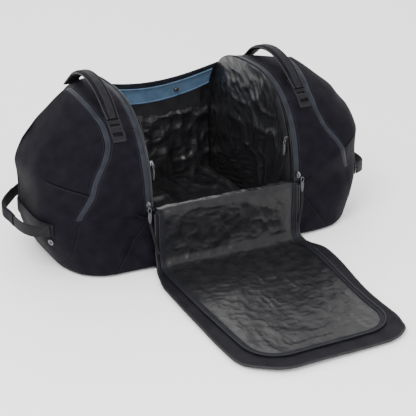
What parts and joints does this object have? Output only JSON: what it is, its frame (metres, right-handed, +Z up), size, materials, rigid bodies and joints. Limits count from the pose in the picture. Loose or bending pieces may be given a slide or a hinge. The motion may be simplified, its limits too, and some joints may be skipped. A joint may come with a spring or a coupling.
{
  "type": "ski boot bag",
  "caption": "Soft ski boot bag with a central compartment between two rounded boot pods and a front panel that unzips and folds out as a floor mat.",
  "frame": {"origin": "on the floor, in the underside of the base panel, under the middle of the central opening; the front panel lies open in front", "axes": "+X along the bag from the left pod to the right pod, +Y from the open front to the back, +Z up"},
  "size_m": [0.8522, 0.893, 0.3795],
  "materials": {
    "shell_fabric": "matte coated woven polyester",
    "zip_tape": "satin water-resistant zip tape",
    "tarpaulin_lining": "glossy crinkled tarpaulin",
    "webbing": "woven webbing",
    "blue_hem": "matte woven lining",
    "slider_metal": "satin grey",
    "pull_tab": "matte moulded tab",
    "snap": "dark satin",
    "stiffener": "matte sheet"
  },
  "bodies": {
    "bag": {"base_panel": "shell_fabric", "base_board": "stiffener", "front_wall": "shell_fabric", "rear_wall": "shell_fabric", "rear_zip_tape": "zip_tape", "rear_hem": "blue_hem", "rear_pocket": "tarpaulin_lining", "hem_snap_left": "snap", "hem_snap_right": "snap", "divider_left": "tarpaulin_lining", "arch_tape_left": "zip_tape", "collar_left": "shell_fabric", "pod_tape_left": "zip_tape", "pod_lower_left": "shell_fabric", "lash_tab_left": "webbing", "rear_tab_left": "webbing", "end_band_left": "webbing", "eyelet_left": "slider_metal", "divider_right": "tarpaulin_lining", "arch_tape_right": "zip_tape", "collar_right": "shell_fabric", "pod_tape_right": "zip_tape", "pod_lower_right": "shell_fabric", "lash_tab_right": "webbing", "rear_tab_right": "webbing", "end_band_right": "webbing", "eyelet_right": "slider_metal"},
    "drop": {"drop_shell": "shell_fabric", "drop_lining": "tarpaulin_lining", "drop_zip_tape_left": "zip_tape", "drop_zip_tape_right": "zip_tape"},
    "mat_1": {"mat_1_shell": "shell_fabric", "mat_1_lining": "tarpaulin_lining", "mat_1_zip_tape_left": "zip_tape", "mat_1_zip_tape_right": "zip_tape"},
    "mat_2": {"mat_2_shell": "shell_fabric", "mat_2_lining": "tarpaulin_lining", "mat_2_zip_tape_left": "zip_tape", "mat_2_zip_tape_right": "zip_tape"},
    "mat_3": {"mat_3_shell": "shell_fabric", "mat_3_lining": "tarpaulin_lining", "mat_3_zip_tape": "zip_tape"},
    "pod_cap_left": {"pod_cap_left": "shell_fabric"},
    "pod_cap_right": {"pod_cap_right": "shell_fabric"},
    "grab_handle_left": {"grab_handle_left": "webbing"},
    "grab_handle_right": {"grab_handle_right": "webbing"},
    "end_handle_left": {"end_handle_left": "webbing"},
    "end_handle_right": {"end_handle_right": "webbing"},
    "main_slider_left": {"main_slider_left": "slider_metal"},
    "main_slider_right": {"main_slider_right": "slider_metal"},
    "main_pull_left": {"main_pull_left": "pull_tab"},
    "main_pull_right": {"main_pull_right": "pull_tab"},
    "pod_slider_left": {"pod_slider_left": "slider_metal"},
    "pod_slider_right": {"pod_slider_right": "slider_metal"},
    "pod_pull_left": {"pod_pull_left": "pull_tab"},
    "pod_pull_right": {"pod_pull_right": "pull_tab"},
    "divider_slider_left": {"divider_slider_left": "slider_metal"},
    "divider_slider_right": {"divider_slider_right": "slider_metal"},
    "divider_pull_left": {"divider_pull_left": "pull_tab"},
    "divider_pull_right": {"divider_pull_right": "pull_tab"}
  },
  "joints": [
    {"name": "flap_hinge", "type": "hinge", "parent": "bag", "child": "drop", "pos_m": [0, -0.2175, 0.129], "axis": [-1, 0, 0], "range_deg": [0, 190]},
    {"name": "mat_1_fold", "type": "hinge", "parent": "drop", "child": "mat_1", "pos_m": [0, -0.2175, 0.0056], "axis": [-1, 0, 0], "range_deg": [-54.2, 0]},
    {"name": "mat_2_fold", "type": "hinge", "parent": "mat_1", "child": "mat_2", "pos_m": [0, -0.3675, 0.0056], "axis": [-1, 0, 0], "range_deg": [0, 40.2]},
    {"name": "mat_3_fold", "type": "hinge", "parent": "mat_2", "child": "mat_3", "pos_m": [0, -0.5175, 0.0056], "axis": [-1, 0, 0], "range_deg": [0, 24.2]},
    {"name": "pod_cap_left_hinge", "type": "hinge", "parent": "bag", "child": "pod_cap_left", "pos_m": [-0.3925, 0, 0.13], "axis": [0, -1, 0], "range_deg": [0, 70]},
    {"name": "grab_handle_left_flop", "type": "hinge", "parent": "bag", "child": "grab_handle_left", "pos_m": [-0.221, -0.095, 0.338], "axis": [0, -0.9965, -0.083], "range_deg": [-35, 40], "stiffness_Nm_per_rad": 0.05},
    {"name": "end_handle_left_lift", "type": "hinge", "parent": "bag", "child": "end_handle_left", "pos_m": [-0.37, 0.01, 0.105], "axis": [0, -1, 0], "range_deg": [-8, 12], "stiffness_Nm_per_rad": 0.08},
    {"name": "main_slider_left_slide", "type": "slide", "parent": "bag", "child": "main_slider_left", "axis": [0, 0.1, 0.995], "range_m": [0, 0.04]},
    {"name": "main_pull_left_swing", "type": "hinge", "parent": "main_slider_left", "child": "main_pull_left", "pos_m": [-0.184, -0.2063, 0.142], "axis": [-1, 0, 0], "range_deg": [0, 150]},
    {"name": "pod_slider_left_slide", "type": "slide", "parent": "bag", "child": "pod_slider_left", "axis": [0.4448, 0.2281, 0.8661], "range_m": [0, 0.02]},
    {"name": "pod_pull_left_swing", "type": "hinge", "parent": "pod_slider_left", "child": "pod_pull_left", "pos_m": [-0.30013, 0.15284, 0.19113], "axis": [0.7548, 0.6559, 0], "range_deg": [0, 120]},
    {"name": "divider_slider_left_slide", "type": "slide", "parent": "bag", "child": "divider_slider_left", "axis": [0, 0.12, 0.9928], "range_m": [-0.03, 0.03]},
    {"name": "divider_pull_left_swing", "type": "hinge", "parent": "divider_slider_left", "child": "divider_pull_left", "pos_m": [-0.1568, -0.172, 0.223], "axis": [0, -1, 0], "range_deg": [0, 120]},
    {"name": "pod_cap_right_hinge", "type": "hinge", "parent": "bag", "child": "pod_cap_right", "pos_m": [0.3925, 0, 0.13], "axis": [0, 1, 0], "range_deg": [0, 70]},
    {"name": "grab_handle_right_flop", "type": "hinge", "parent": "bag", "child": "grab_handle_right", "pos_m": [0.221, -0.095, 0.338], "axis": [0, 0.9965, 0.083], "range_deg": [-35, 40], "stiffness_Nm_per_rad": 0.05},
    {"name": "end_handle_right_lift", "type": "hinge", "parent": "bag", "child": "end_handle_right", "pos_m": [0.37, 0.01, 0.105], "axis": [0, 1, 0], "range_deg": [-8, 12], "stiffness_Nm_per_rad": 0.08},
    {"name": "main_slider_right_slide", "type": "slide", "parent": "bag", "child": "main_slider_right", "axis": [0, 0.1, 0.995], "range_m": [0, 0.04]},
    {"name": "main_pull_right_swing", "type": "hinge", "parent": "main_slider_right", "child": "main_pull_right", "pos_m": [0.184, -0.2063, 0.142], "axis": [-1, 0, 0], "range_deg": [0, 150]},
    {"name": "pod_slider_right_slide", "type": "slide", "parent": "bag", "child": "pod_slider_right", "axis": [-0.4448, 0.2281, 0.8661], "range_m": [0, 0.02]},
    {"name": "pod_pull_right_swing", "type": "hinge", "parent": "pod_slider_right", "child": "pod_pull_right", "pos_m": [0.30013, 0.15284, 0.19113], "axis": [0.7548, -0.6559, 0], "range_deg": [0, 120]},
    {"name": "divider_slider_right_slide", "type": "slide", "parent": "bag", "child": "divider_slider_right", "axis": [0, 0.12, 0.9928], "range_m": [-0.03, 0.03]},
    {"name": "divider_pull_right_swing", "type": "hinge", "parent": "divider_slider_right", "child": "divider_pull_right", "pos_m": [0.1568, -0.172, 0.223], "axis": [0, 1, 0], "range_deg": [0, 120]}
  ],
  "couplings": [
    {"joint": "mat_1_fold", "follows": "flap_hinge", "ratio": -0.28421},
    {"joint": "mat_2_fold", "follows": "flap_hinge", "ratio": 0.21053},
    {"joint": "mat_3_fold", "follows": "flap_hinge", "ratio": 0.12632}
  ]
}
